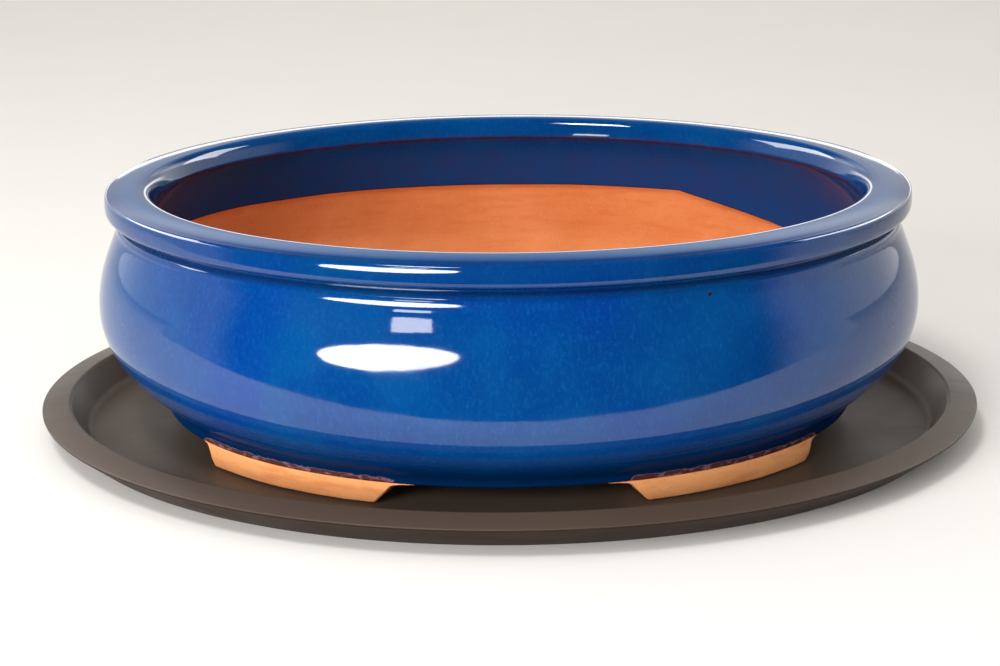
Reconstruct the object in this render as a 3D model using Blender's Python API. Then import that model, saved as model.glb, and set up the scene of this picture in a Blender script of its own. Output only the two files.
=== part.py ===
"""Oval glazed bonsai pot standing in its drip tray.

Frame: the origin is on the ground under the middle of the tray, +X runs along the long side and +Z is up.
Lengths are written in millimetres, and MM turns them into metres where a mesh or a place is made.
A section is a list of (inset, height) points, and an inset is measured inwards from the piece's oval outline.
"""

import math

import bmesh
import bpy

MM = 0.001
GAP = 0.3  # air between two pieces that rest on each other

# Driving dimensions of the pot. Its outline is the rim, and the belly stands BELLY_PROUD outside it.
RIM_HALF_LENGTH = 123.3
RIM_HALF_DEPTH = 97.9
POT_HEIGHT = 76.0
BELLY_PROUD = 3.7
BELLY_HEIGHT_AT_END = 39.5
BELLY_HEIGHT_AT_SIDE = 31.4  # the belly's widest line sags along the two long sides
BASE_INSET = 15.5
FOOT_HEIGHT = 6.2
FLOOR_THICKNESS = 7.5
WALL_THICKNESS = 7.7
RIM_WIDTH = 14.9
GROOVE_HEIGHT = 66.3  # top of the shoulder, where the belly meets the groove under the rim

# Driving dimensions of the tray.
TRAY_HALF_LENGTH = 147.0
TRAY_HALF_DEPTH = 112.5
TRAY_HEIGHT = 10.6
TRAY_FLOOR = 1.8
TRAY_FLANGE_WIDTH = 8.3
TRAY_SKIRT_INSET = 10.0

# Feet: each is a curved pad under the base, its ends set by angles from the pot's long axis.
FOOT_WIDTH = 13.0
FOOT_FLARE = 0.7  # how far the foot's sole stands out past its top
FOOT_CHAMFER = 0.8
FOOT_ANGLES_TOP = (33.0, 72.0)
FOOT_ANGLES_SOLE = (36.0, 69.0)
FOOT_STATIONS = 12

# Drainage: a hole at each end of the floor, a plastic screen over it and a wire clip that holds the screen.
HOLE_OFFSET = 48.0
HOLE_RADIUS = 11.0
SCREEN_CELLS = 7
SCREEN_PITCH = 4.7
SCREEN_BAR = 1.2
SCREEN_THICKNESS = 1.5
WIRE_RADIUS = 0.8
WIRE_BEND = 1.6
CLIP_TAIL = 9.0  # length bent out under the base, past each leg

OVAL_SIDES = 72
HOLE_SIDES = 32

FLOOR_HEIGHT = FOOT_HEIGHT + FLOOR_THICKNESS
POT_BASE = TRAY_FLOOR + GAP

GLAZE = ("cobalt_glaze", (0.001, 0.061, 0.275), 0.08, 0.0)
CLAY = ("bare_terracotta", (0.665, 0.205, 0.061), 0.85, 0.0)
BROWN_PLASTIC = ("brown_plastic", (0.100, 0.083, 0.070), 0.45, 0.0)
BLACK_MESH = ("black_mesh", (0.020, 0.020, 0.022), 0.55, 0.0)
ALUMINIUM_WIRE = ("aluminium_wire", (0.420, 0.250, 0.150), 0.35, 1.0)


def clear_scene():
    for obj in list(bpy.data.objects):
        bpy.data.objects.remove(obj, do_unlink=True)


def material(spec):
    """The Principled material that a (name, colour, roughness, metallic) entry describes, made once."""
    name, colour, roughness, metallic = spec
    if name in bpy.data.materials:
        return bpy.data.materials[name]
    made = bpy.data.materials.new(name)
    made.use_nodes = True
    shader = made.node_tree.nodes["Principled BSDF"]
    shader.inputs["Base Color"].default_value = (*colour, 1.0)
    shader.inputs["Roughness"].default_value = roughness
    shader.inputs["Metallic"].default_value = metallic
    made.diffuse_color = (*colour, 1.0)
    return made


def add_empty(name, location):
    """An axis that pieces are parented to; its place is where they move from."""
    empty = bpy.data.objects.new(name, None)
    empty.location = location
    bpy.context.scene.collection.objects.link(empty)
    return empty


def add_mesh(name, mesh, finish, parent, location=(0.0, 0.0, 0.0), smooth=True):
    """A named piece from a bmesh, with its faces turned outwards."""
    bmesh.ops.recalc_face_normals(mesh, faces=mesh.faces)
    data = bpy.data.meshes.new(name)
    mesh.to_mesh(data)
    mesh.free()
    data.materials.append(material(finish))
    if smooth:
        data.shade_smooth()
        data.set_sharp_from_angle(angle=math.radians(40))
    piece = bpy.data.objects.new(name, data)
    piece.parent = parent
    piece.location = location
    bpy.context.scene.collection.objects.link(piece)
    return piece


def bezier(start, handle_a, handle_b, end, steps):
    """Points along a cubic curve, without its start."""
    points = []
    for step in range(1, steps + 1):
        t = step / steps
        weights = ((1 - t) ** 3, 3 * t * (1 - t) ** 2, 3 * t * t * (1 - t), t**3)
        corners = (start, handle_a, handle_b, end)
        points.append(tuple(sum(w * c[axis] for w, c in zip(weights, corners)) for axis in (0, 1)))
    return points


def loft(section_at, half_length, half_depth):
    """A closed bmesh from the section at each turn round the oval, its first and last rings capped."""
    mesh = bmesh.new()
    ribs = []
    for side in range(OVAL_SIDES):
        turn = math.tau * side / OVAL_SIDES
        rib = []
        for inset, height in section_at(turn):
            x = (half_length - inset) * math.cos(turn)
            y = (half_depth - inset) * math.sin(turn)
            rib.append(mesh.verts.new((x * MM, y * MM, height * MM)))
        ribs.append(rib)
    for near, far in zip(ribs, ribs[1:] + ribs[:1]):
        for low in range(len(near) - 1):
            mesh.faces.new((near[low], far[low], far[low + 1], near[low + 1]))
    mesh.faces.new([rib[0] for rib in ribs])
    mesh.faces.new([rib[-1] for rib in ribs])
    return mesh


def pot_section(turn):
    """The pot's wall, from the underside out to the base, up over the rim and down to the floor."""
    sideways = abs(math.sin(turn)) ** 1.5  # 0 at the two ends and 1 in the middle of the long sides

    def mix(at_end, at_side):
        return at_end + (at_side - at_end) * sideways

    belly = (-BELLY_PROUD, mix(BELLY_HEIGHT_AT_END, BELLY_HEIGHT_AT_SIDE))
    base = (BASE_INSET, FOOT_HEIGHT + 0.7)
    shoulder = (3.2, GROOVE_HEIGHT)
    outside = [(BASE_INSET + 0.9, FOOT_HEIGHT), base]
    outside += bezier(base, (BASE_INSET - 0.6, mix(15.0, 11.8)), (-BELLY_PROUD, mix(22.5, 16.5)), belly, 7)
    outside += bezier(belly, (-BELLY_PROUD, mix(52.5, 49.0)), (mix(3.9, 0.55), 61.8), shoulder, 5)
    rim = [
        (4.2, GROOVE_HEIGHT + 0.8),  # groove
        (3.9, GROOVE_HEIGHT + 1.6),
        (1.4, POT_HEIGHT - 7.0),  # lower edge of the rim band
        (0.6, POT_HEIGHT - 6.2),
        (0.0, POT_HEIGHT - 3.6),
        (0.4, POT_HEIGHT - 1.6),
        (1.1, POT_HEIGHT - 0.8),
        (2.1, POT_HEIGHT - 0.45),  # outer ridge of the top
        (4.8, POT_HEIGHT - 0.65),
        (8.8, POT_HEIGHT - 0.1),
        (10.6, POT_HEIGHT),  # crest
        (12.0, POT_HEIGHT - 0.9),
        (RIM_WIDTH - 0.4, POT_HEIGHT - 5.0),
        (RIM_WIDTH, POT_HEIGHT - 6.0),  # lower edge of the lip's inner face
    ]
    lip = (RIM_WIDTH - 0.7, POT_HEIGHT - 7.0)
    waist = (WALL_THICKNESS - BELLY_PROUD, mix(40.5, 34.0))
    floor_edge = (21.5, FLOOR_HEIGHT + 1.0)
    inside = [lip]
    inside += bezier(lip, (mix(8.5, 9.2), POT_HEIGHT - 13.0), (waist[0], mix(54.0, 51.0)), waist, 5)
    inside += bezier(waist, (waist[0], mix(30.0, 25.0)), (17.0, mix(20.0, 17.5)), floor_edge, 6)
    inside += [(25.0, FLOOR_HEIGHT)]
    return outside + rim + inside


def drill(piece, place, radius, low, high):
    """Cuts a vertical round hole through the piece, with a hidden cutter."""
    mesh = bmesh.new()
    bmesh.ops.create_cone(
        mesh,
        cap_ends=True,
        segments=HOLE_SIDES,
        radius1=radius * MM,
        radius2=radius * MM,
        depth=(high - low) * MM,
    )
    location = (place * MM, 0.0, (low + high) / 2 * MM)
    cutter = add_mesh("hole_cutter", mesh, CLAY, piece.parent, location)
    cutter.hide_render = True
    cutter.display_type = "WIRE"
    cut = piece.modifiers.new("drain_hole", "BOOLEAN")
    cut.object = cutter
    cut.operation = "DIFFERENCE"


def add_pot_body(pot):
    mesh = loft(pot_section, RIM_HALF_LENGTH, RIM_HALF_DEPTH)
    body = add_mesh("pot_body", mesh, GLAZE, pot)
    for end in (-1, 1):
        drill(body, end * HOLE_OFFSET, HOLE_RADIUS, FOOT_HEIGHT - 4.0, FLOOR_HEIGHT + 4.0)


def add_foot(name, side_x, side_y, pot):
    """A curved clay pad that follows the base's outline, with slanted ends and a chamfered sole."""
    top = FOOT_HEIGHT - GAP
    outer = BASE_INSET + 0.2
    inner = outer + FOOT_WIDTH
    section = [
        (outer, top),
        (outer - FOOT_FLARE, FOOT_CHAMFER),
        (outer - FOOT_FLARE + FOOT_CHAMFER, 0.0),
        (inner - FOOT_CHAMFER, 0.0),
        (inner, FOOT_CHAMFER),
        (inner, top),
    ]
    mesh = bmesh.new()
    stations = []
    for station in range(FOOT_STATIONS + 1):
        ring = []
        for inset, height in section:
            rise = height / top
            ends = [low + (high - low) * rise for low, high in zip(FOOT_ANGLES_SOLE, FOOT_ANGLES_TOP)]
            turn = math.radians(ends[0] + (ends[1] - ends[0]) * station / FOOT_STATIONS)
            x = side_x * (RIM_HALF_LENGTH - inset) * math.cos(turn)
            y = side_y * (RIM_HALF_DEPTH - inset) * math.sin(turn)
            ring.append(mesh.verts.new((x * MM, y * MM, height * MM)))
        stations.append(ring)
    for near, far in zip(stations, stations[1:]):
        for corner in range(len(section)):
            after = (corner + 1) % len(section)
            mesh.faces.new((near[corner], near[after], far[after], far[corner]))
    mesh.faces.new(stations[0])
    mesh.faces.new(stations[-1])
    add_mesh(name, mesh, CLAY, pot)


def add_screen(name, place, pot):
    """A square plastic mesh lying on the floor over a drain hole."""
    half = (SCREEN_CELLS * SCREEN_PITCH + SCREEN_BAR) / 2
    lines = []
    for bar in range(SCREEN_CELLS + 1):
        lines += [bar * SCREEN_PITCH - half, bar * SCREEN_PITCH + SCREEN_BAR - half]
    mesh = bmesh.new()
    corners = [[mesh.verts.new((x * MM, y * MM, 0.0)) for y in lines] for x in lines]
    sheet = []
    for i in range(len(lines) - 1):
        for j in range(len(lines) - 1):
            if i % 2 and j % 2:
                continue
            square = (corners[i][j], corners[i + 1][j], corners[i + 1][j + 1], corners[i][j + 1])
            sheet.append(mesh.faces.new(square))
    raised = bmesh.ops.extrude_face_region(mesh, geom=sheet, use_keep_orig=True)
    lifted = [part for part in raised["geom"] if isinstance(part, bmesh.types.BMVert)]
    bmesh.ops.translate(mesh, verts=lifted, vec=(0.0, 0.0, SCREEN_THICKNESS * MM))
    add_mesh(name, mesh, BLACK_MESH, pot, (place * MM, 0.0, (FLOOR_HEIGHT + GAP) * MM), smooth=False)


def bend(centre, start, turn, steps=4):
    """Points round a bend of the wire, from one angle through another, in degrees."""
    points = []
    for step in range(steps + 1):
        angle = math.radians(start + turn * step / steps)
        points.append((centre[0] + WIRE_BEND * math.cos(angle), centre[1] + WIRE_BEND * math.sin(angle)))
    return points


def add_clip(name, place, pot):
    """A wire staple: a bar over the screen, a leg down through each side and tails bent out under the base."""
    leg = 2 * SCREEN_PITCH
    bar = FLOOR_HEIGHT + 2 * GAP + SCREEN_THICKNESS + WIRE_RADIUS
    tail = FOOT_HEIGHT - GAP - WIRE_RADIUS
    half = [(leg + WIRE_BEND + CLIP_TAIL, tail)]
    half += bend((leg + WIRE_BEND, tail + WIRE_BEND), -90, -90)
    half += bend((leg - WIRE_BEND, bar - WIRE_BEND), 0, 90)
    route = half + [(-x, z) for x, z in reversed(half)]
    curve = bpy.data.curves.new(name, "CURVE")
    curve.dimensions = "3D"
    curve.bevel_depth = WIRE_RADIUS * MM
    curve.bevel_resolution = 2
    curve.use_fill_caps = True
    spline = curve.splines.new("POLY")
    spline.points.add(len(route) - 1)
    for point, (x, z) in zip(spline.points, route):
        point.co = (x * MM, 0.0, z * MM, 1.0)
    curve.materials.append(material(ALUMINIUM_WIRE))
    clip = bpy.data.objects.new(name, curve)
    clip.parent = pot
    clip.location = (place * MM, 0.0, 0.0)
    bpy.context.scene.collection.objects.link(clip)


def add_tray(ground):
    """A shallow oval dish: sloping skirt, wide flange that falls slightly outwards, and a flat floor."""
    crest = TRAY_FLANGE_WIDTH
    section = [
        (TRAY_SKIRT_INSET + 0.7, 0.0),
        (TRAY_SKIRT_INSET, 0.6),
        (0.6, TRAY_HEIGHT - 2.5),
        (0.0, TRAY_HEIGHT - 1.8),
        (0.5, TRAY_HEIGHT - 1.35),
        (crest - 0.9, TRAY_HEIGHT - 0.1),
        (crest, TRAY_HEIGHT),
        (crest + 0.9, TRAY_HEIGHT - 0.6),
        (crest + 5.0, TRAY_FLOOR + 1.4),
        (crest + 6.1, TRAY_FLOOR + 0.3),
        (crest + 8.0, TRAY_FLOOR),
    ]
    mesh = loft(lambda turn: section, TRAY_HALF_LENGTH, TRAY_HALF_DEPTH)
    add_mesh("drip_tray", mesh, BROWN_PLASTIC, ground)


def main():
    clear_scene()
    ground = add_empty("ground_axis", (0.0, 0.0, 0.0))
    pot = add_empty("pot_lift_axis", (0.0, 0.0, POT_BASE * MM))
    add_tray(ground)
    add_pot_body(pot)
    for end, side_x in (("left", -1), ("right", 1)):
        for face, side_y in (("front", -1), ("back", 1)):
            add_foot(f"foot_{face}_{end}", side_x, side_y, pot)
        add_screen(f"drain_screen_{end}", side_x * HOLE_OFFSET, pot)
        add_clip(f"screen_clip_{end}", side_x * HOLE_OFFSET, pot)


main()
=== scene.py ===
"""Looks of the oval bonsai pot in its drip tray: glaze, bare clay, moulded plastic, and a pale studio.

Lengths are in millimetres, and MM turns them into metres where a mesh or a place is made. The frame's axes
are kept: +X runs along the pot's long side, +Y to its back and +Z up. A section is a list of (inset, height)
points, and each point stands for an oval ring, inset inwards from the outline that its piece starts from.
A turn is the angle round the oval, from +X towards +Y.
"""

import math

import bmesh
import bpy
from mathutils import Matrix, Vector, noise


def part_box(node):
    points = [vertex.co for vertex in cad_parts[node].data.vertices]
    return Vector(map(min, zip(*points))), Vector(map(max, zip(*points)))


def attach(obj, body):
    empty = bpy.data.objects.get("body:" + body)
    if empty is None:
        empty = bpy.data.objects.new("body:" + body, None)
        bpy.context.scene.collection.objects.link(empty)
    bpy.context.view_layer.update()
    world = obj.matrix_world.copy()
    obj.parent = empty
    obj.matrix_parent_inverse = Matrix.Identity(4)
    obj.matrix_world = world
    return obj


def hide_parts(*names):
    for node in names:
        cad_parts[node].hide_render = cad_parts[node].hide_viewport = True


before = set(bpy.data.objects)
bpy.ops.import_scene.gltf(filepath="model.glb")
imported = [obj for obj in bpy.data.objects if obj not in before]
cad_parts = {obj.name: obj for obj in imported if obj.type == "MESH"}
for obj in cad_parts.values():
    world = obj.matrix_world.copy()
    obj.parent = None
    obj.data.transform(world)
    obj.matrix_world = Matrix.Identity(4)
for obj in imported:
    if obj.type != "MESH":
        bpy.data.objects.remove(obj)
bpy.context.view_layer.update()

MM = 0.001


def size_of(node):
    """(half length, half depth, lowest height, highest height) of a CAD node, in millimetres."""
    low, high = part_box(node)
    return (high.x - low.x) / 2 / MM, (high.y - low.y) / 2 / MM, low.z / MM, high.z / MM


GAP = 0.3  # between separate pieces that touch

# The pot. Its section's heights are measured from the soles of its feet, its insets from the rim's outline.
BELLY_PROUD = 3.7
BELLY_HEIGHT_AT_END = 39.5
BELLY_HEIGHT_AT_SIDE = 31.4  # the belly's widest line sags along the two long sides
POT_HALF_LENGTH, POT_HALF_DEPTH, POT_UNDERSIDE, POT_TOP = size_of("pot_body")
RIM_HALF_LENGTH = POT_HALF_LENGTH - BELLY_PROUD
RIM_HALF_DEPTH = POT_HALF_DEPTH - BELLY_PROUD
SOLE = size_of("foot_front_left")[2]
POT_HEIGHT = POT_TOP - SOLE
BASE_HEIGHT = POT_UNDERSIDE - SOLE
FLOOR_HEIGHT = size_of("drain_screen_left")[2] - SOLE - GAP
BASE_INSET = 15.5
SHOULDER_INSET = 3.3
SHOULDER_TOP = 65.8
RIM_WIDTH = 14.9
WALL_THICKNESS = 7.7
HOLE_OFFSET = 48.0
HOLE_RADIUS = 11.0

# The rim: its groove as (inset, height over the shoulder), the rest as (inset, depth from the top).
GROOVE = [(4.1, 0.4), (4.9, 0.9), (4.95, 1.5), (4.1, 2.05)]
BAND_EDGE = [(2.9, 7.7), (1.8, 7.45), (0.95, 7.15), (0.42, 6.7), (0.14, 6.1), (0.02, 5.4)]
BAND_FACE = [(0.0, 4.6), (0.03, 3.8), (0.08, 3.05), (0.17, 2.4)]
RIDGE = [(0.29, 1.8), (0.47, 1.4), (0.76, 1.14), (1.15, 0.97), (1.65, 0.85)]
DISHED_TOP = [(2.3, 0.74), (3.2, 0.57), (4.5, 0.38), (6.0, 0.22), (7.5, 0.1), (9.0, 0.025)]
CREST = [(9.7, 0.01), (10.3, 0.045), (11.3, 0.17), (12.2, 0.48), (13.0, 1.1), (13.6, 1.95)]
LIP = [(14.1, 3.1), (14.5, 4.3), (14.8, 5.3), (RIM_WIDTH, 6.1), (RIM_WIDTH - 0.7, 7.0)]

# The glaze. Its lower edge runs level round the inner wall and dips at the right end, by turns in degrees.
GLAZE_THICKNESS = 0.4
GLAZE_LINE = 51.6
GLAZE_DIP = 9.6
GLAZE_DIP_MIDDLE = 5.0
GLAZE_DIP_START = 54.0
GLAZE_DIP_RUN = 25.0
GLAZE_EDGE = [(0.45, 0.95), (0.25, 0.8), (0.1, 0.5), (0.0, 0.0)]  # (height over the line, share of thickness)
THIN_LIP = 6.4  # how far below the top the glaze breaks brown on the lip
FOOTING = 16.5  # the lowest part of the glazed wall, in which the feet would be mirrored
FOOTING_FADE = 3.0  # the band above it
NO_WEAR = (0.0, 0.0, 0.0)

# Feet: each is set by angles from the pot's long axis, in degrees, at its top and at its sole.
FOOT_INSET = BASE_INSET + 0.2
FOOT_WIDTH = 13.0
FOOT_FLARE = 0.7
FOOT_ANGLES_TOP = (33.0, 72.0)
FOOT_ANGLES_SOLE = (36.0, 69.0)
FOOT_SMEAR = 3.5  # degrees of clay drawn out beyond a foot's top corners
FOOT_UNEVENNESS = 0.2  # how far the feet's faces waver

# Screens and clips.
SCREEN_CELLS = 7
SCREEN_PITCH = 4.7
SCREEN_BAR = 1.2
SCREEN_THICKNESS = 1.5
WIRE_RADIUS = 0.8
WIRE_BEND = 1.6
CLIP_TAIL = 9.0

# The tray, its insets measured from its outline.
TRAY_HALF_LENGTH, TRAY_HALF_DEPTH, _, TRAY_TOP = size_of("drip_tray")
TRAY_FLOOR = SOLE - GAP
FLANGE_WIDTH = 8.3
SKIRT_INSET = 10.0

# How finely the curves are cut.
SIDES = 360
HOLE_SIDES = 64
ROD_SIDES = 16
LOWER_WALL_STEPS = 36
UPPER_WALL_STEPS = 28
RIM_STEPS = 3
LIP_EDGE_ROWS = 6
UNDER_LIP_STEPS = 20
UNDER_WAIST_STEPS = 24
GLAZED_ROWS = 16
BARE_ROWS = 26
FOOT_STEPS = 60
ROUND_STEPS = 6
WIRE_BEND_STEPS = 10


# ---------------------------------------------------------------- outlines and meshes


def bezier(start, handle_a, handle_b, end, steps):
    """Points along a cubic curve, without its start."""
    points = []
    for step in range(1, steps + 1):
        t = step / steps
        weights = ((1 - t) ** 3, 3 * t * (1 - t) ** 2, 3 * t * t * (1 - t), t**3)
        corners = (start, handle_a, handle_b, end)
        points.append(tuple(sum(w * c[axis] for w, c in zip(weights, corners)) for axis in (0, 1)))
    return points


def flow(points, steps):
    """A smooth line through the points, cut into steps between each two of them, without its start."""
    line = []
    padded = [points[0], *points, points[-1]]
    for before, start, end, after in zip(padded, padded[1:], padded[2:], padded[3:]):
        handle_a = tuple(s + (e - b) / 6 for b, s, e in zip(before, start, end))
        handle_b = tuple(e - (a - s) / 6 for s, e, a in zip(start, end, after))
        line += bezier(start, handle_a, handle_b, end, steps)
    return line


def rounded(corners):
    """An outline through (inset, height, radius) corners, each rounded over its radius."""
    line = []
    count = len(corners)
    for at, (x, y, radius) in enumerate(corners):
        corner = Vector((x, y))
        if not radius:
            line.append(tuple(corner))
            continue
        before = (Vector(corners[at - 1][:2]) - corner).normalized()
        after = (Vector(corners[(at + 1) % count][:2]) - corner).normalized()
        start, end = corner + before * radius, corner + after * radius
        for step in range(ROUND_STEPS + 1):
            t = step / ROUND_STEPS
            point = start * (1 - t) ** 2 + corner * 2 * t * (1 - t) + end * t * t
            line.append(tuple(point))
    return line


def blend(low, high, share):
    return low + (high - low) * share


def smooth_step(value, start, end):
    """0 before start and 1 after end, with a soft run between them."""
    t = min(max((value - start) / (end - start), 0.0), 1.0)
    return t * t * (3 - 2 * t)


def hump(value, middle, width):
    """1 at the middle, falling off softly on both sides of it."""
    return math.exp(-(((value - middle) / width) ** 2))


def link_piece(name, data, body, replaced):
    """Puts a mesh or curve in the scene as a piece that rides on a body and stands for CAD nodes."""
    piece = bpy.data.objects.new(name, data)
    bpy.context.scene.collection.objects.link(piece)
    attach(piece, body)
    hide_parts(*replaced)


def new_piece(name, mesh, materials, body, replaced):
    """Turns a bmesh into a smooth piece with its faces turned outwards."""
    bmesh.ops.recalc_face_normals(mesh, faces=mesh.faces)
    data = bpy.data.meshes.new(name)
    mesh.to_mesh(data)
    mesh.free()
    for one in materials:
        data.materials.append(one)
    data.shade_smooth()
    link_piece(name, data, body, replaced)


def oval_point(half_length, half_depth, turn, inset, height):
    """A point on a ring of an oval piece, in metres."""
    x = (half_length - inset) * math.cos(turn)
    y = (half_depth - inset) * math.sin(turn)
    return (x * MM, y * MM, height * MM)


def bridge(mesh, lower, upper, material=0):
    """Faces between two closed rings of vertices."""
    count = len(lower)
    for side in range(count):
        after = (side + 1) % count
        face = mesh.faces.new((lower[side], lower[after], upper[after], upper[side]))
        face.material_index = material


# ---------------------------------------------------------------- nodes


def add_node(tree, kind, links, **settings):
    """A new node's outputs; links gives its inputs, each a socket of another node or a plain value."""
    made = tree.nodes.new(kind)
    for key, value in settings.items():
        setattr(made, key, value)
    for key, value in links.items():
        if isinstance(value, bpy.types.NodeSocket):
            tree.links.new(value, made.inputs[key])
        else:
            made.inputs[key].default_value = value
    return made.outputs


def soft_span(tree, value, start, end, low=0.0, high=1.0):
    """The value's run from start to end, mapped onto low to high and clamped."""
    links = {"Value": value, "From Min": start, "From Max": end, "To Min": low, "To Max": high}
    return add_node(tree, "ShaderNodeMapRange", links, interpolation_type="SMOOTHSTEP")["Result"]


def calculate(tree, operation, first, second=0.0):
    return add_node(tree, "ShaderNodeMath", {0: first, 1: second}, operation=operation)[0]


# ---------------------------------------------------------------- materials


class Look:
    """A Principled material, with short ways to add nodes to it."""

    def __init__(self, name, roughness, metallic=0.0, ior=1.5):
        self.made = bpy.data.materials.new(name)
        self.made.use_nodes = True
        self.tree = self.made.node_tree
        self.shader = self.tree.nodes["Principled BSDF"]
        self.shader.inputs["Roughness"].default_value = roughness
        self.shader.inputs["Metallic"].default_value = metallic
        self.shader.inputs["IOR"].default_value = ior
        self.place = self.tree.nodes.new("ShaderNodeTexCoord").outputs["Object"]

    def node(self, kind, links, **settings):
        return add_node(self.tree, kind, links, **settings)

    def span(self, value, start, end, low=0.0, high=1.0):
        return soft_span(self.tree, value, start, end, low, high)

    def math(self, operation, first, second=0.0):
        return calculate(self.tree, operation, first, second)

    def height(self):
        """The height above the ground at rest, in metres."""
        return self.node("ShaderNodeSeparateXYZ", {0: self.place})["Z"]

    def noise(self, size, detail=2.0, stretch=(1.0, 1.0, 1.0), warp=0.0):
        """Noise from 0 to 1 whose blobs are about size millimetres across, times stretch along each axis."""
        scale = tuple(1 / one for one in stretch)
        place = self.node("ShaderNodeMapping", {"Vector": self.place, "Scale": scale})["Vector"]
        links = {"Vector": place, "Scale": 1 / (size * MM), "Detail": detail, "Distortion": warp}
        return self.node("ShaderNodeTexNoise", links)[0]

    def mix(self, share, first, second):
        """A colour between two colours."""
        pair = [one if isinstance(one, bpy.types.NodeSocket) else (*one, 1.0) for one in (first, second)]
        return self.node("ShaderNodeMix", {0: share, 6: pair[0], 7: pair[1]}, data_type="RGBA")[2]

    def near(self, centre, radius, edge):
        """1 within a radius of a place, in millimetres, and 0 past its edge."""
        links = {0: self.place, 1: tuple(one * MM for one in centre)}
        distance = self.node("ShaderNodeVectorMath", links, operation="DISTANCE")["Value"]
        return self.span(distance, radius * MM, edge * MM, 1.0, 0.0)

    def finish(self, colour, roughness=None, height=None, depth=0.1):
        """Links the colour, the roughness and a bump whose height of 1 stands for depth millimetres."""
        self.tree.links.new(colour, self.shader.inputs["Base Color"])
        if roughness is not None:
            self.tree.links.new(roughness, self.shader.inputs["Roughness"])
        if height is not None:
            bump = self.node("ShaderNodeBump", {"Strength": 1.0, "Distance": depth * MM, "Height": height})
            self.tree.links.new(bump["Normal"], self.shader.inputs["Normal"])
        return self.made


def glaze_material(name, ior, inner=False):
    """Cobalt glaze, clouded and finely flecked, brown where it breaks over edges and violet inside.

    The wear attribute says how thin it is (red); how far down it reaches inside, or outside where the rim
    band's face is darkened with painted shade and the glaze lies thicker (green); and where a mauve band runs
    along the base edge over the feet, partly glaze broken brown and partly a painted reflection of the feet
    (blue). Outside it is also darkened with painted shade towards the base and in the groove, and paled with a
    painted sheen on the rim's top.
    """
    look = Look(name, 0.06, ior=ior)
    wear = look.node("ShaderNodeAttribute", {}, attribute_name="wear")["Color"]
    parts = look.node("ShaderNodeSeparateColor", {"Color": wear})
    thin, inside_depth_and_band_shade, footing = (parts[key] for key in ("Red", "Green", "Blue"))
    cloud = look.span(look.noise(26.0, 3.0), 0.35, 0.68)
    colour = look.mix(cloud, (0.0002, 0.029, 0.134), (0.0004, 0.041, 0.154))
    drift = look.span(look.noise(48.0, 2.0, warp=0.5), 0.5, 0.75, 0.0, 0.55)
    colour = look.mix(drift, colour, (0.0003, 0.020, 0.160))
    grain = look.span(look.noise(1.0, 2.0, (1.0, 1.0, 2.0)), 0.45, 0.75, 0.0, 0.17)
    colour = look.mix(grain, colour, (0.004, 0.095, 0.30))
    fleck = look.span(look.noise(0.45, 1.0, (1.0, 1.0, 2.2)), 0.60, 0.76, 0.0, 0.12)
    colour = look.mix(fleck, colour, (0.018, 0.15, 0.38))
    dark = look.span(look.noise(0.9, 1.0), 0.68, 0.80, 0.0, 0.5)
    colour = look.mix(dark, colour, (0.0004, 0.018, 0.09))
    height = look.height()
    # Painted shade: darker towards the base, standing in for the dark tray mirrored low on the wall, with
    # glaze pooled thicker there too.
    pooling_and_painted_base_shade = look.span(height, 9.0 * MM, 27.0 * MM, 0.75, 0.0)
    colour = look.mix(pooling_and_painted_base_shade, colour, (0.0003, 0.010, 0.042))
    # Painted sheen: a paler blue along the rim's top, standing in for the pale sheen it catches.
    painted_top_sheen = look.span(height, (POT_TOP - 0.65) * MM, (POT_TOP - 0.2) * MM, 0.0, 0.7)
    colour = look.mix(painted_top_sheen, colour, (0.002, 0.075, 0.24))
    if inner:
        violet = look.span(look.noise(9.0, 3.0), 0.4, 0.7)
        violet = look.mix(violet, (0.010, 0.043, 0.165), (0.016, 0.037, 0.145))
        colour = look.mix(look.math("MULTIPLY", inside_depth_and_band_shade, 0.9), colour, violet)
    else:
        # Painted shade on the rim band's face, darker than the belly, where the glaze also lies thicker.
        colour = look.mix(look.math("MULTIPLY", inside_depth_and_band_shade, 0.30), colour, (0.0002, 0.012, 0.060))
        # Painted shade in the groove under the rim band, where the glaze also pools: darker from the
        # shoulder's top up under the band.
        low, full, waning, high = ((SOLE + SHOULDER_TOP + rise) * MM for rise in (0.0, 0.6, 1.6, 2.2))
        under_band = look.span(height, waning, high, 0.4, 0.0)
        groove = look.math("MULTIPLY", look.span(height, low, full), under_band)
        colour = look.mix(groove, colour, (0.0002, 0.006, 0.028))
    # The mauve band over the feet: partly glaze broken brown along the base edge, partly a painted reflection
    # of the feet, paler along its ragged top.
    teeth = look.span(look.noise(2.6, 4.0, (1.0, 1.0, 0.6)), 0.3, 0.7, -0.28, 0.28)
    ragged = look.math("ADD", footing, teeth)
    band = look.span(ragged, 0.62, 0.74)
    mauve_glaze_and_painted_reflection = look.mix(look.noise(1.5, 3.0), (0.050, 0.016, 0.018), (0.095, 0.036, 0.038))
    mauve_glaze_and_painted_reflection = look.mix(look.span(ragged, 0.74, 1.0, 0.75, 0.0), mauve_glaze_and_painted_reflection, (0.24, 0.13, 0.15))
    colour = look.mix(band, colour, mauve_glaze_and_painted_reflection)
    patchy = look.math("MULTIPLY", thin, look.span(look.noise(4.0, 3.0), 0.25, 0.6, 0.55, 1.0))
    colour = look.mix(look.math("MULTIPLY", patchy, 0.9), colour, (0.028, 0.008, 0.020))
    for centre, radius in BLEMISHES:
        colour = look.mix(look.near(centre, radius * 0.6, radius), colour, (0.020, 0.008, 0.008))
    roughness = look.span(look.noise(14.0, 3.0), 0.3, 0.7, 0.035, 0.075)
    roughness = look.math("MAXIMUM", roughness, look.math("MULTIPLY", band, 0.22))
    peel = look.math("ADD", look.noise(9.0, 1.0), look.math("MULTIPLY", look.noise(1.3, 2.0), 0.12))
    return look.finish(colour, roughness, peel, 0.03)


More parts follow.
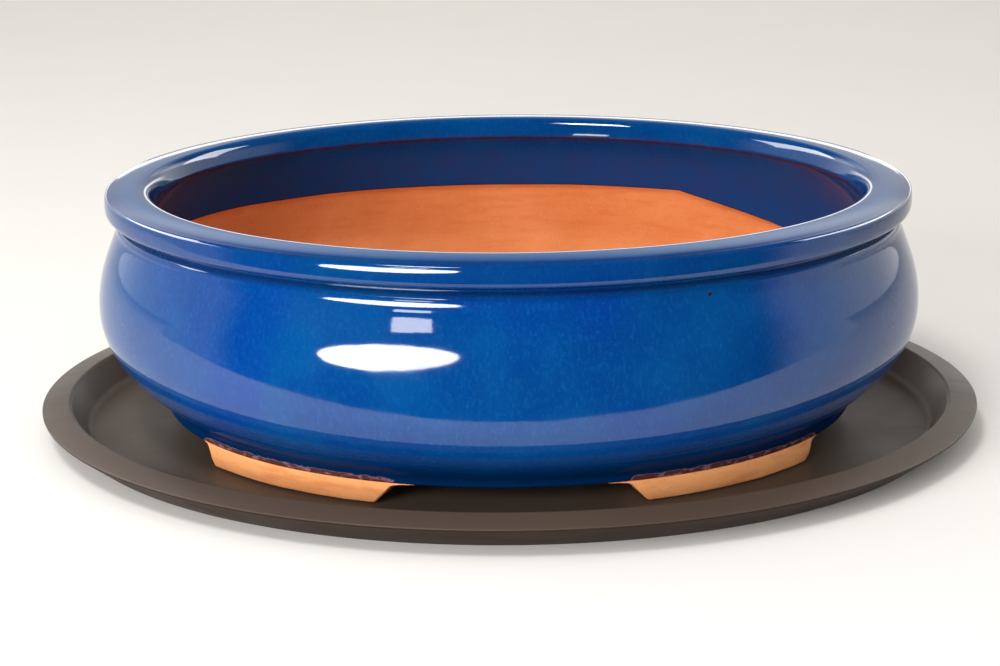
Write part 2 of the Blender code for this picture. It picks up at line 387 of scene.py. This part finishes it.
def clay_material(name, darker, paler):
    """Bare fired terracotta: warm, dry and faintly streaked round the wall."""
    look = Look(name, 0.85)
    patch = look.span(look.noise(30.0, 4.0), 0.3, 0.7)
    colour = look.mix(patch, darker, paler)
    streak = look.span(look.noise(5.0, 4.0, (3.0, 3.0, 0.5)), 0.45, 0.75, 0.0, 0.4)
    colour = look.mix(streak, colour, (0.60, 0.14, 0.032))
    speck = look.span(look.noise(0.8, 2.0), 0.62, 0.75, 0.0, 0.35)
    colour = look.mix(speck, colour, (0.42, 0.12, 0.045))
    pale = look.span(look.noise(0.6, 1.0), 0.66, 0.78, 0.0, 0.4)
    colour = look.mix(pale, colour, (0.85, 0.45, 0.25))
    roughness = look.span(look.noise(3.0), 0.3, 0.7, 0.72, 0.95)
    drag = look.math("MULTIPLY", look.noise(4.0, 3.0, (2.0, 2.0, 0.5)), 1.5)
    return look.finish(colour, roughness, look.math("ADD", look.noise(0.5, 4.0), drag), 0.10)


def plastic_material(name, ior, darker, paler, dusty):
    """Satin brown moulded plastic with a fine spark-eroded texture, a little dust and a few faint scuffs."""
    look = Look(name, 0.42, ior=ior)
    colour = look.mix(look.noise(60.0, 3.0), darker, paler)
    dust = look.span(look.noise(0.9, 3.0), 0.6, 0.8, 0.0, dusty)
    colour = look.mix(dust, colour, (0.12, 0.105, 0.09))
    # Painted light: paler low on the tray's floor, where more light falls than on its walls.
    painted_floor_light = look.span(look.height(), (TRAY_FLOOR + 0.5) * MM, (TRAY_FLOOR + 2.0) * MM, dusty * 1.3, 0.0)
    colour = look.mix(painted_floor_light, colour, (0.13, 0.105, 0.082))
    scuff = look.span(look.noise(9.0, 4.0, (2.5, 0.6, 1.0)), 0.58, 0.8, 0.0, 0.12)
    roughness = look.math("ADD", look.span(look.noise(22.0, 3.0), 0.3, 0.7, 0.36, 0.44), scuff)
    return look.finish(colour, roughness, look.noise(0.45, 2.0), 0.02)


def net_material():
    """Matte black moulded mesh."""
    look = Look("screen_plastic_finish", 0.5)
    colour = look.mix(look.noise(6.0, 3.0), (0.012, 0.012, 0.013), (0.030, 0.029, 0.029))
    roughness = look.span(look.noise(3.0, 2.0), 0.3, 0.7, 0.42, 0.6)
    return look.finish(colour, roughness, look.noise(0.4, 2.0), 0.015)


def wire_material():
    """Brown anodised aluminium bonsai wire, drawn along its length."""
    look = Look("clip_wire_finish", 0.35, 1.0)
    colour = look.mix(look.noise(2.5, 3.0), (0.36, 0.20, 0.115), (0.47, 0.29, 0.18))
    roughness = look.span(look.noise(0.8, 2.0), 0.3, 0.7, 0.28, 0.42)
    return look.finish(colour, roughness, look.noise(0.3, 2.0, (6.0, 1.0, 1.0)), 0.01)


def sheet_material(name, tone):
    """White studio sheet with a barely visible unevenness."""
    look = Look(name, 0.9)
    tones = [tuple(one * share for one in tone) for share in (0.97, 1.0)]
    return look.finish(look.mix(look.noise(40.0, 3.0), *tones))


# Pinholes in the glaze: place and radius.
BLEMISHES = [((53.6, -85.8, 65.6), 0.7), ((-71.0, 82.0, 30.0), 0.6)]

# The glaze's refractive index falls towards the base, where the wall would mirror the feet too brightly, and
# it is low inside, where the glaze is thin.
GLAZE = glaze_material("cobalt_glaze_finish", 1.6)
LOWER_GLAZE = glaze_material("lower_glaze_finish", 1.3)
FOOTING_GLAZE = glaze_material("footing_glaze_finish", 1.01)
INNER_GLAZE = glaze_material("inner_glaze_finish", 1.13, inner=True)
CLAY = clay_material("terracotta_finish", (0.66, 0.205, 0.060), (0.74, 0.260, 0.088))
# The feet get a paler copy of the terracotta: painted light, standing in for the light they catch.
LIT_FOOT_CLAY = clay_material("foot_clay_painted_light_finish", (0.86, 0.350, 0.125), (0.90, 0.385, 0.145))
PLASTIC = plastic_material("tray_plastic_finish", 1.26, (0.056, 0.037, 0.026), (0.072, 0.050, 0.036), 0.25)
# The skirt gets a darker copy of the tray's plastic: painted shade, where it faces down and away from the
# light.
SHADED_SKIRT = plastic_material("tray_skirt_painted_shade_finish", 1.13, (0.020, 0.011, 0.007), (0.027, 0.015, 0.010), 0.05)
NET = net_material()
WIRE = wire_material()

# The pot's finishes, and the tray's, in the order that their faces number them.
POT_FINISHES = [GLAZE, CLAY, INNER_GLAZE, FOOTING_GLAZE, LOWER_GLAZE]
ON_BELLY, BARE, INSIDE, ON_FOOTING, ABOVE_FOOTING = range(5)
TRAY_FINISHES = [PLASTIC, SHADED_SKIRT]
ON_DISH, ON_SKIRT = range(2)


# ---------------------------------------------------------------- pot


def sideways(turn):
    """0 at the pot's two ends and 1 in the middle of its long sides."""
    return abs(math.sin(turn)) ** 1.5


def outside_line(turn):
    """The pot's outer wall from its base edge up to the top of the shoulder."""
    share = sideways(turn)
    base = (BASE_INSET, BASE_HEIGHT + 0.7)
    belly = (-BELLY_PROUD, blend(BELLY_HEIGHT_AT_END, BELLY_HEIGHT_AT_SIDE, share))
    neck = (blend(2.75, 1.76, share), blend(63.1, 62.15, share))
    over_base = (BASE_INSET - 0.6, blend(15.0, 11.8, share))
    under_belly = (-BELLY_PROUD, blend(22.5, 16.5, share))
    over_belly = (-BELLY_PROUD, blend(49.9, 49.0, share))
    under_neck = (blend(1.16, -1.1, share), blend(57.9, 55.8, share))
    line = [(BASE_INSET + 0.3, BASE_HEIGHT + 0.2), base]
    line += bezier(base, over_base, under_belly, belly, LOWER_WALL_STEPS)
    line += bezier(belly, over_belly, under_neck, neck, UPPER_WALL_STEPS)
    shoulder = [
        neck,
        (blend(2.98, 2.05, share), blend(63.9, 63.2, share)),
        (blend(3.05, 2.27, share), blend(64.7, 64.3, share)),
        (blend(3.15, 2.62, share), blend(65.3, 65.1, share)),
        (SHOULDER_INSET, SHOULDER_TOP),
    ]
    return line + flow(shoulder, RIM_STEPS)


def rim_line():
    """The groove, the rim band, its dished top and the lip's inner face."""
    line = [(SHOULDER_INSET, SHOULDER_TOP)]
    line += [(inset, SHOULDER_TOP + rise) for inset, rise in GROOVE]
    for part in (BAND_EDGE, BAND_FACE, RIDGE, DISHED_TOP, CREST, LIP):
        line += [(inset, POT_HEIGHT - depth) for inset, depth in part]
    return flow(line, RIM_STEPS)


def inside_line(turn):
    """The pot's inner wall from under the lip down to the edge of the floor."""
    share = sideways(turn)
    inset, depth = LIP[-1]
    lip = (inset, POT_HEIGHT - depth)
    waist = (WALL_THICKNESS - BELLY_PROUD, blend(40.5, 34.0, share))
    floor_edge = (21.5, FLOOR_HEIGHT + 1.0)
    under_lip = (blend(8.5, 9.2, share), POT_HEIGHT - 13.0)
    over_waist = (waist[0], blend(54.0, 51.0, share))
    under_waist = (waist[0], blend(30.0, 25.0, share))
    over_floor = (17.0, blend(20.0, 17.5, share))
    line = [lip, *bezier(lip, under_lip, over_waist, waist, UNDER_LIP_STEPS)]
    line += bezier(waist, under_waist, over_floor, floor_edge, UNDER_WAIST_STEPS)
    return line + [(23.0, FLOOR_HEIGHT + 0.3), (25.0, FLOOR_HEIGHT)]


def along(line, share):
    """The point at a share of a line's points, counted from its start."""
    place = min(max(share, 0.0), 1.0) * (len(line) - 1)
    at = min(int(place), len(line) - 2)
    part = place - at
    return tuple(a + (b - a) * part for a, b in zip(line[at], line[at + 1]))


def share_at_height(line, height):
    """How far along a falling line it reaches a height."""
    for at in range(len(line) - 1):
        if line[at][1] >= height >= line[at + 1][1]:
            return (at + (line[at][1] - height) / (line[at][1] - line[at + 1][1])) / (len(line) - 1)
    return 1.0


def glaze_line_height(turn):
    """How far down the inner wall the glaze reaches."""
    away = abs(math.degrees(turn) - GLAZE_DIP_MIDDLE)
    dip = min(max((GLAZE_DIP_START - away) / GLAZE_DIP_RUN, 0.0), 1.0)
    waver = 0.3 * noise.noise((4 * math.cos(turn), 4 * math.sin(turn), 0.0))
    return GLAZE_LINE + waver - sideways(turn) ** 4 - GLAZE_DIP * dip**0.85


def over_feet(turn):
    """1 where a foot stands under the base edge, 0 in the gaps between the feet."""
    folded = math.degrees(math.atan2(abs(math.sin(turn)), abs(math.cos(turn))))
    start, end = FOOT_ANGLES_TOP
    return smooth_step(folded, start - 2.0, start + 1.0) * (1 - smooth_step(folded, end - 1.0, end + 1.5))


def outer_rows(turn):
    """The outer wall as (inset, height, wear); over the feet the glaze broke brown along the base edge, and
    the blue wear there also carries a painted reflection of the feet.
    """
    rows = []
    reach = blend(0.7, 2.9, over_feet(turn))
    for inset, height in outside_line(turn):
        low = 1 - smooth_step(height, BASE_HEIGHT + reach - 1.2, BASE_HEIGHT + reach)
        rows.append((inset, height, (0.0, 0.0, low * blend(0.35, 1.0, over_feet(turn)))))
    return rows


def rim_rows():
    """The rim as (inset, height, wear): thin on the crest and the lip's edge, thick and darkened with painted
    shade on the band's face.
    """
    rows = []
    for inset, height in rim_line():
        inside_depth_and_band_shade = 0.0
        if inset > 12.0:
            thin = hump(height, POT_HEIGHT - THIN_LIP, 0.8)
        else:
            thin = 0.2 * hump(inset, 10.6, 0.8)
            # Green wear on the band's face: painted shade, with the glaze lying thicker there.
            inside_depth_and_band_shade = 1 - smooth_step(inset, 0.4, 1.2)
        rows.append((inset, height, (thin, inside_depth_and_band_shade, 0.0)))
    return rows


def inner_rows(turn):
    """The inner wall as (inset, height, wear) rows, glazed down to the glaze line and bare below it."""
    line = inside_line(turn)
    bottom = glaze_line_height(turn)
    edge = share_at_height(line, bottom + 0.7)
    rows = []
    for row in range(1, GLAZED_ROWS + 1):
        inset, height = along(line, edge * row / GLAZED_ROWS)
        proud = GLAZE_THICKNESS * min(row / 5, 1.0)
        thin = hump(height, POT_HEIGHT - THIN_LIP, 1.0)
        rows.append((inset + proud, height, (thin, smooth_step(POT_HEIGHT - height, 7.5, 15.0), 0.0)))
    for above, share in GLAZE_EDGE:
        inset, height = along(line, share_at_height(line, bottom + above))
        rows.append((inset + share * GLAZE_THICKNESS, height, (0.3, 1.0, 0.0)))
    edge = share_at_height(line, bottom)
    for row in range(1, BARE_ROWS + 1):
        inset, height = along(line, edge + (1 - edge) * row / BARE_ROWS)
        rows.append((inset, height, NO_WEAR))
    return rows


def pot_rib(turn):
    """The whole wall at a turn: from the underside out, up, over the rim and down to the floor."""
    under = [(BASE_INSET + further, BASE_HEIGHT, NO_WEAR) for further in (2.0, 0.9)]
    return under + outer_rows(turn) + rim_rows() + inner_rows(turn)


def floor_face(mesh, ring, holes, up):
    """Fills a flat oval ring around its round holes with triangles of bare clay."""
    edges = []
    for loop in (ring, *holes):
        for side, vert in enumerate(loop):
            after = loop[(side + 1) % len(loop)]
            edges.append(mesh.edges.get((vert, after)) or mesh.edges.new((vert, after)))
    made = bmesh.ops.triangle_fill(mesh, edges=edges, use_beauty=True, normal=(0.0, 0.0, up))
    for face in made["geom"]:
        if isinstance(face, bmesh.types.BMFace):
            face.material_index = BARE


def hole_ring(mesh, place, radius, height):
    ring = []
    for side in range(HOLE_SIDES):
        turn = math.tau * side / HOLE_SIDES
        x = place + radius * math.cos(turn)
        ring.append(mesh.verts.new((x * MM, radius * math.sin(turn) * MM, height * MM)))
    return ring


def drain_hole(mesh, place):
    """The softened wall of a drain hole; returns its lowest and its highest ring."""
    tube = [
        (HOLE_RADIUS + 0.9, BASE_HEIGHT),
        (HOLE_RADIUS + 0.3, BASE_HEIGHT + 0.25),
        (HOLE_RADIUS, BASE_HEIGHT + 0.9),
        (HOLE_RADIUS, FLOOR_HEIGHT - 0.9),
        (HOLE_RADIUS + 0.3, FLOOR_HEIGHT - 0.25),
        (HOLE_RADIUS + 0.9, FLOOR_HEIGHT),
    ]
    rings = [hole_ring(mesh, place, radius, SOLE + height) for radius, height in tube]
    for lower, upper in zip(rings, rings[1:]):
        bridge(mesh, lower, upper, BARE)
    return rings[0], rings[-1]


def outer_finish(rise):
    """The finish of the glazed wall at a height above the base."""
    if rise < FOOTING:
        return ON_FOOTING
    return ABOVE_FOOTING if rise < FOOTING + FOOTING_FADE else ON_BELLY


def add_pot():
    """The pot's shell, from rings round its whole section, with its floor and the two drain holes."""
    mesh = bmesh.new()
    wear = mesh.verts.layers.float_color.new("wear")
    ribs = []
    for side in range(SIDES):
        turn = math.tau * side / SIDES
        rib = []
        for inset, height, state in pot_rib(turn):
            place = oval_point(RIM_HALF_LENGTH, RIM_HALF_DEPTH, turn, inset, SOLE + height)
            vert = mesh.verts.new(place)
            vert[wear] = (*state, 1.0)
            rib.append(vert)
        ribs.append(rib)
    rings = list(zip(*ribs))
    first_glazed = 2
    first_bare = len(rings) - BARE_ROWS - 1
    first_inner = first_bare - len(GLAZE_EDGE) - GLAZED_ROWS - LIP_EDGE_ROWS
    for row, (lower, upper) in enumerate(zip(rings, rings[1:])):
        if row < first_glazed or row >= first_bare:
            finish = BARE
        elif row >= first_inner:
            finish = INSIDE
        else:
            finish = outer_finish(upper[0].co.z / MM - SOLE - BASE_HEIGHT)
        bridge(mesh, lower, upper, finish)
    holes = [drain_hole(mesh, end * HOLE_OFFSET) for end in (-1, 1)]
    floor_face(mesh, rings[0], [low for low, high in holes], -1.0)
    floor_face(mesh, rings[-1], [high for low, high in holes], 1.0)
    new_piece("pot_shell", mesh, POT_FINISHES, "pot", ["pot_body"])


# ---------------------------------------------------------------- feet


def foot_section():
    """A foot's cross section, from the top of its outer face round the sole to the top of its inner face."""
    top = BASE_HEIGHT + 0.02
    outer = FOOT_INSET
    inner = outer + FOOT_WIDTH
    face = [(outer + 0.25, top), (outer + 0.1, top - 0.15), (outer, top - 0.4), (outer - 0.1, top - 0.8)]
    face += [(outer - 0.25, top - 1.5), (outer - 0.45, top - 2.6), (outer - FOOT_FLARE, top - 4.0)]
    corners = [(outer - FOOT_FLARE - 0.02, 0.0, 0.9), (inner, 0.0, 0.8), (inner, top, 0.0), (outer, top, 0.0)]
    sole = rounded(corners)[: 2 * (ROUND_STEPS + 1)]
    return face + sole + [(inner, top - 1.5), (inner, top - 0.6), (inner, top - 0.25), (inner, top)]


def foot_ends(height):
    """The two angles between which a foot runs at a height, its top corners drawn out into thin smears."""
    rise = min(max(height / BASE_HEIGHT, 0.0), 1.0)
    smear = FOOT_SMEAR * rise**30
    return (
        blend(FOOT_ANGLES_SOLE[0], FOOT_ANGLES_TOP[0], rise) - 0.5 * smear,
        blend(FOOT_ANGLES_SOLE[1], FOOT_ANGLES_TOP[1], rise) + smear,
    )


def foot_stations():
    """(place along the foot from 0 to 1, share of the end's rounding), closely spaced at both ends."""
    near = [(0.0, 1.0), (0.002, 0.55), (0.005, 0.25), (0.010, 0.05)]
    middle = [(0.02 + 0.96 * step / FOOT_STEPS, 0.0) for step in range(FOOT_STEPS + 1)]
    return near + middle + [(1 - place, share) for place, share in reversed(near)]


def add_foot(name, side_x, side_y):
    """A hand-pressed clay pad under the base edge, its faces a little uneven."""
    section = foot_section()
    middle = FOOT_INSET + FOOT_WIDTH / 2
    mesh = bmesh.new()
    rings = []
    for place, rounding in foot_stations():
        ring = []
        for inset, height in section:
            inset = middle + (inset - middle) * (1 - 0.07 * rounding)
            height = BASE_HEIGHT - (BASE_HEIGHT - height) * (1 - 0.08 * rounding)
            low, high = foot_ends(height)
            turn = math.radians(blend(low, high, place))
            point = Vector(oval_point(RIM_HALF_LENGTH, RIM_HALF_DEPTH, turn, inset, SOLE + height))
            point.x *= side_x
            point.y *= side_y
            unevenness = noise.noise(point * 180.0) + 0.5 * noise.noise(point * 520.0)
            inwards = Vector((-point.x, -point.y, 0.0)).normalized()
            free = 1 - smooth_step(height, BASE_HEIGHT - 1.5, BASE_HEIGHT)
            point += inwards * (FOOT_UNEVENNESS * unevenness * free * MM)
            ring.append(mesh.verts.new(point))
        rings.append(ring)
    for near, far in zip(rings, rings[1:]):
        bridge(mesh, near, far)
    mesh.faces.new(rings[0])
    mesh.faces.new(rings[-1])
    new_piece(f"{name}_pad", mesh, [LIT_FOOT_CLAY], "pot", [name])


# ---------------------------------------------------------------- screens and clips


def rod(mesh, centre, half, along_x):
    """A rounded plastic bar; half is its half length, half width and half thickness."""
    stations = [(-1.0, 0.55), (-0.997, 0.85), (-0.99, 1.0), (0.99, 1.0), (0.997, 0.85), (1.0, 0.55)]
    rings = []
    for place, swell in stations:
        ring = []
        for side in range(ROD_SIDES):
            angle = math.tau * side / ROD_SIDES
            across = math.copysign(abs(math.cos(angle)) ** 0.6, math.cos(angle)) * half[1] * swell
            up = math.copysign(abs(math.sin(angle)) ** 0.6, math.sin(angle)) * half[2] * swell
            run = place * half[0]
            x, y = (run, across) if along_x else (across, run)
            ring.append(mesh.verts.new(((centre[0] + x) * MM, (centre[1] + y) * MM, (centre[2] + up) * MM)))
        rings.append(ring)
    for near, far in zip(rings, rings[1:]):
        bridge(mesh, near, far)
    mesh.faces.new(rings[0])
    mesh.faces.new(rings[-1])


def add_screen(end, place):
    """The drain screen: two crossing layers of rounded bars, fused where they cross."""
    half_size = (SCREEN_CELLS * SCREEN_PITCH + SCREEN_BAR) / 2
    base = SOLE + FLOOR_HEIGHT + GAP
    thickness = 0.62 * SCREEN_THICKNESS
    mesh = bmesh.new()
    for bar in range(SCREEN_CELLS + 1):
        offset = bar * SCREEN_PITCH + SCREEN_BAR / 2 - half_size
        lower = (place, offset, base + thickness / 2)
        upper = (place + offset, 0.0, base + SCREEN_THICKNESS - thickness / 2)
        rod(mesh, lower, (half_size, SCREEN_BAR / 2, thickness / 2), True)
        rod(mesh, upper, (half_size, SCREEN_BAR / 2, thickness / 2), False)
    new_piece(f"mesh_{end}", mesh, [NET], "pot", [f"drain_screen_{end}"])


def bend(centre, start, turn):
    """Points round a bend of the wire, from one angle through another, in degrees."""
    points = []
    for step in range(WIRE_BEND_STEPS + 1):
        angle = math.radians(start + turn * step / WIRE_BEND_STEPS)
        points.append((centre[0] + WIRE_BEND * math.cos(angle), centre[1] + WIRE_BEND * math.sin(angle)))
    return points


def add_clip(end, place):
    """A bent wire staple: a bar over the screen, a leg down through each side and tails under the base."""
    leg = 2 * SCREEN_PITCH
    bar = FLOOR_HEIGHT + 2 * GAP + SCREEN_THICKNESS + WIRE_RADIUS
    tail = BASE_HEIGHT - GAP - WIRE_RADIUS
    half = [(leg + WIRE_BEND + CLIP_TAIL, tail)]
    half += bend((leg + WIRE_BEND, tail + WIRE_BEND), -90, -90)
    half += bend((leg - WIRE_BEND, bar - WIRE_BEND), 0, 90)
    route = half + [(-x, z) for x, z in reversed(half)]
    curve = bpy.data.curves.new(f"wire_{end}", "CURVE")
    curve.dimensions = "3D"
    curve.bevel_depth = WIRE_RADIUS * MM
    curve.bevel_resolution = 6
    curve.use_fill_caps = True
    spline = curve.splines.new("POLY")
    spline.points.add(len(route) - 1)
    for point, (x, z) in zip(spline.points, route):
        point.co = ((place + x) * MM, 0.0, (SOLE + z) * MM, 1.0)
    spline.use_smooth = True
    curve.materials.append(WIRE)
    link_piece(f"wire_{end}", curve, "pot", [f"screen_clip_{end}"])


# ---------------------------------------------------------------- tray


def tray_section():
    """The tray's wall: from the underside out to the skirt's foot, up to the flange and down to the floor."""
    corners = [
        (SKIRT_INSET + 4.0, 0.0, 0.0),
        (SKIRT_INSET + 0.3, 0.0, 0.6),
        (0.05, 8.5, 0.5),
        (0.0, 9.15, 0.35),
        (FLANGE_WIDTH + 0.45, TRAY_TOP + 0.13, 0.9),
        (14.15, TRAY_FLOOR, 1.9),
        (18.0, TRAY_FLOOR, 0.0),
    ]
    return rounded(corners)


def add_tray():
    """The tray, its skirt darker than its dish and flange with painted shade."""
    mesh = bmesh.new()
    rings = []
    section = tray_section()
    for inset, height in section:
        ring = []
        for side in range(SIDES):
            turn = math.tau * side / SIDES
            ring.append(mesh.verts.new(oval_point(TRAY_HALF_LENGTH, TRAY_HALF_DEPTH, turn, inset, height)))
        rings.append(ring)
    outermost = min(range(len(section)), key=lambda row: section[row][0])
    for row, (lower, upper) in enumerate(zip(rings, rings[1:])):
        bridge(mesh, lower, upper, ON_SKIRT if row < outermost else ON_DISH)
    mesh.faces.new(rings[0])
    mesh.faces.new(rings[-1])
    new_piece("tray_dish", mesh, TRAY_FINISHES, "tray", ["drip_tray"])


add_pot()
for end, side_x in (("left", -1), ("right", 1)):
    for face, side_y in (("front", -1), ("back", 1)):
        add_foot(f"foot_{face}_{end}", side_x, side_y)
    add_screen(end, side_x * HOLE_OFFSET)
    add_clip(end, side_x * HOLE_OFFSET)
add_tray()


# ---------------------------------------------------------------- studio

# The sheet, which bows forward to its front edge, and its sweep up into the backdrop.
SHEET = sheet_material("sheet_finish", (0.80, 0.777, 0.745))
STAGE_HALF = 3200.0
SHEET_FRONT = -203.0
SHEET_BOW = 0.0007
SWEEP_START = 900.0
SWEEP_RADIUS = 600.0
BACKDROP_HEIGHT = 2200.0
STAGE_STEPS = 50
SWEEP_STEPS = 24

# What a glossy surface mirrors, as (bearing in degrees, brightness); 0 is towards -Y and 90 towards +X.
ROOM = [
    (-180, 0.65), (-160, 0.72), (-140, 1.4), (-105, 0.8), (-80, 0.6), (-66, 0.02),
    (60, 0.02), (78, 0.75), (105, 1.1), (140, 1.6), (160, 0.82), (180, 0.65),
]
WARM_WHITE = (1.0, 0.985, 0.955)
SEEN_BEHIND = (0.86, 0.845, 0.80, 1.0)
WALL_LIGHT = 3.0
BACK_GLOW = 2.6
LOW_GLOW = 9.0
EVEN_LIGHT = 0.70

LENS = 69.4
SENSOR_WIDTH = 36.0
CAMERA_PLACE = Vector((-2.8, -579.7, 217.2))
CAMERA_AIM = Vector((-2.8, 0.0, 27.0))
CAMERA_ROLL = math.radians(-0.5)


def softbox(name, location, target, size, brightness, shape="RECTANGLE", spin=0.0):
    """A soft lamp, placed and aimed in millimetres; its brightness is the radiance of its face."""
    light = bpy.data.lights.new(name, "AREA")
    light.shape = shape
    light.size, light.size_y = size[0] * MM, size[1] * MM
    face = light.size * light.size_y * (math.pi / 4 if shape == "ELLIPSE" else 1.0)
    light.energy = brightness * face * math.pi
    lamp = bpy.data.objects.new(name, light)
    aim = (Vector(target) - Vector(location)) * MM
    facing = aim.to_track_quat("-Z", "Y").to_matrix().to_4x4()
    lamp.matrix_world = Matrix.Translation(Vector(location) * MM) @ facing @ Matrix.Rotation(spin, 4, "Z")
    lamp.visible_camera = False
    bpy.context.scene.collection.objects.link(lamp)
    return lamp


def stage_strip(name, near, far, finish):
    """A strip of the studio's sheet between two lines of points."""
    mesh = bmesh.new()
    rows = [[mesh.verts.new(Vector(point) * MM) for point in line] for line in (near, far)]
    for at in range(len(near) - 1):
        mesh.faces.new((rows[0][at], rows[0][at + 1], rows[1][at + 1], rows[1][at]))
    data = bpy.data.meshes.new(name)
    mesh.to_mesh(data)
    mesh.free()
    data.materials.append(finish)
    data.shade_smooth()
    piece = bpy.data.objects.new(name, data)
    bpy.context.scene.collection.objects.link(piece)
    return piece


def bowed_edge(x):
    """Where the mirrored sheet starts in Y, at a place along X."""
    return min(SHEET_FRONT + SHEET_BOW * x * x, 0.0)


def add_stage():
    """A pale sheet that sweeps up behind; in front of its bowed edge and up its sweep it is never mirrored."""
    xs = [STAGE_HALF * step / STAGE_STEPS for step in range(-STAGE_STEPS, STAGE_STEPS + 1)]
    edge = [(x, bowed_edge(x), 0.0) for x in xs]
    front = stage_strip("front_sheet", [(x, -STAGE_HALF, 0.0) for x in xs], edge, SHEET)
    front.visible_glossy = False
    stage_strip("studio_sheet", edge, [(x, SWEEP_START, 0.0) for x in xs], SHEET)
    sweep = []
    for step in range(SWEEP_STEPS + 1):
        angle = math.pi / 2 * step / SWEEP_STEPS
        sweep.append((SWEEP_START + SWEEP_RADIUS * math.sin(angle), SWEEP_RADIUS * (1 - math.cos(angle))))
    sweep.append((SWEEP_START + SWEEP_RADIUS, BACKDROP_HEIGHT))
    left = [(-STAGE_HALF, y, z) for y, z in sweep]
    right = [(STAGE_HALF, y, z) for y, z in sweep]
    backdrop = stage_strip("studio_backdrop", right, left, SHEET)
    backdrop.visible_glossy = False


def add_lamps():
    """Soft boxes in front, two windows behind that are only mirrored, and two lamps that never are."""
    softbox("key_softbox", (-357, -717, 92), (-32, -96, 51), (455, 180), 20.0, "ELLIPSE", math.radians(7))
    softbox("upper_softbox", (-282, -483, 966), (20, 40, 60), (230, 230), 30.0)
    softbox("small_window", (-292, -721, 353), (-26, -95, 60), (125, 104), 10.0, spin=math.radians(7))
    fill = softbox("fill_softbox", (-762, -818, 407), (0, 0, 10), (600, 420), 12.0)
    fill.visible_glossy = False
    back = softbox("back_softbox", (0, 1000, 900), (0, 650, 0), (1200, 500), 0.7)
    back.visible_glossy = False
    left_window = softbox("left_window", (-634, 296, 560), (20, 0, 80), (650, 290), 9.0)
    right_window = softbox("right_window", (626, 333, 554), (90, -60, 80), (420, 380), 8.0)
    for window in (left_window, right_window):
        window.visible_diffuse = False


def wall_tone(tree, bearing):
    """The mirrored walls' tone by bearing, as ROOM gives it."""
    circle = {"Value": bearing, "From Min": -math.pi, "From Max": math.pi}
    share = add_node(tree, "ShaderNodeMapRange", circle)["Result"]
    walls = tree.nodes.new("ShaderNodeValToRGB")
    ramp = walls.color_ramp
    ramp.interpolation = "EASE"
    for _ in range(len(ROOM) - 2):
        ramp.elements.new(0.5)
    for element, (degrees, level) in zip(ramp.elements, ROOM):
        element.position = (degrees + 180) / 360
        element.color = (*(level / WALL_LIGHT * part for part in WARM_WHITE), 1.0)
    tree.links.new(share, walls.inputs[0])
    return walls.outputs[0]


def mirrored_strength(tree, height, aside):
    """Pale walls under a dim ceiling, and two glows at the back; the low one lights the rim's crest."""
    walls = soft_span(tree, height, 0.32, 0.62, WALL_LIGHT, WALL_LIGHT * 0.06)
    glow = soft_span(tree, height, 0.25, 0.36, 0.0, BACK_GLOW)
    for share in (
        soft_span(tree, height, 0.42, 0.58, 1.0, 0.0),
        soft_span(tree, aside, math.radians(100), math.radians(135)),
        soft_span(tree, aside, math.radians(166), math.pi, 1.0, 0.0),
    ):
        glow = calculate(tree, "MULTIPLY", glow, share)
    low_glow = soft_span(tree, height, 0.03, 0.06, 0.0, LOW_GLOW)
    for share in (
        soft_span(tree, height, 0.11, 0.15, 1.0, 0.0),
        soft_span(tree, aside, math.radians(140), math.radians(158)),
    ):
        low_glow = calculate(tree, "MULTIPLY", low_glow, share)
    return calculate(tree, "ADD", walls, calculate(tree, "ADD", glow, low_glow))


def add_room():
    """Even light for dull surfaces; glossy ones mirror pale walls all round but for a dark room in front."""
    world = bpy.data.worlds.new("studio")
    world.use_nodes = True
    bpy.context.scene.world = world
    tree = world.node_tree
    way = add_node(tree, "ShaderNodeSeparateXYZ", {0: add_node(tree, "ShaderNodeTexCoord", {})["Generated"]})
    bearing = calculate(tree, "ARCTAN2", way["X"], calculate(tree, "MULTIPLY", way["Y"], -1.0))
    strength = mirrored_strength(tree, way["Z"], calculate(tree, "ABSOLUTE", bearing))
    backgrounds = []
    for colour, level in (
        (wall_tone(tree, bearing), strength),
        ((*WARM_WHITE, 1.0), EVEN_LIGHT),
        (SEEN_BEHIND, 1.0),
    ):
        backgrounds.append(add_node(tree, "ShaderNodeBackground", {"Color": colour, "Strength": level})[0])
    mirrored, even, seen = backgrounds
    path = add_node(tree, "ShaderNodeLightPath", {})
    lit = add_node(tree, "ShaderNodeMixShader", {0: path["Is Glossy Ray"], 1: even, 2: mirrored})[0]
    both = add_node(tree, "ShaderNodeMixShader", {0: path["Is Camera Ray"], 1: lit, 2: seen})[0]
    tree.links.new(both, tree.nodes["World Output"].inputs["Surface"])


def add_camera():
    """A long lens in front, a little above the rim, rolled by half a degree."""
    camera = bpy.data.cameras.new("camera")
    camera.lens = LENS
    camera.sensor_width = SENSOR_WIDTH
    eye = bpy.data.objects.new("camera", camera)
    bpy.context.scene.collection.objects.link(eye)
    ahead = (CAMERA_AIM - CAMERA_PLACE).normalized()
    right = ahead.cross(Vector((0, 0, 1))).normalized()
    up = right.cross(ahead)
    side = math.cos(CAMERA_ROLL) * right + math.sin(CAMERA_ROLL) * up
    top = math.cos(CAMERA_ROLL) * up - math.sin(CAMERA_ROLL) * right
    pose = Matrix((side, top, -ahead)).transposed().to_4x4()
    pose.translation = CAMERA_PLACE * MM
    eye.matrix_world = pose
    bpy.context.scene.camera = eye
    bpy.context.scene.view_settings.view_transform = "Standard"


add_lamps()
add_stage()
add_room()
add_camera()
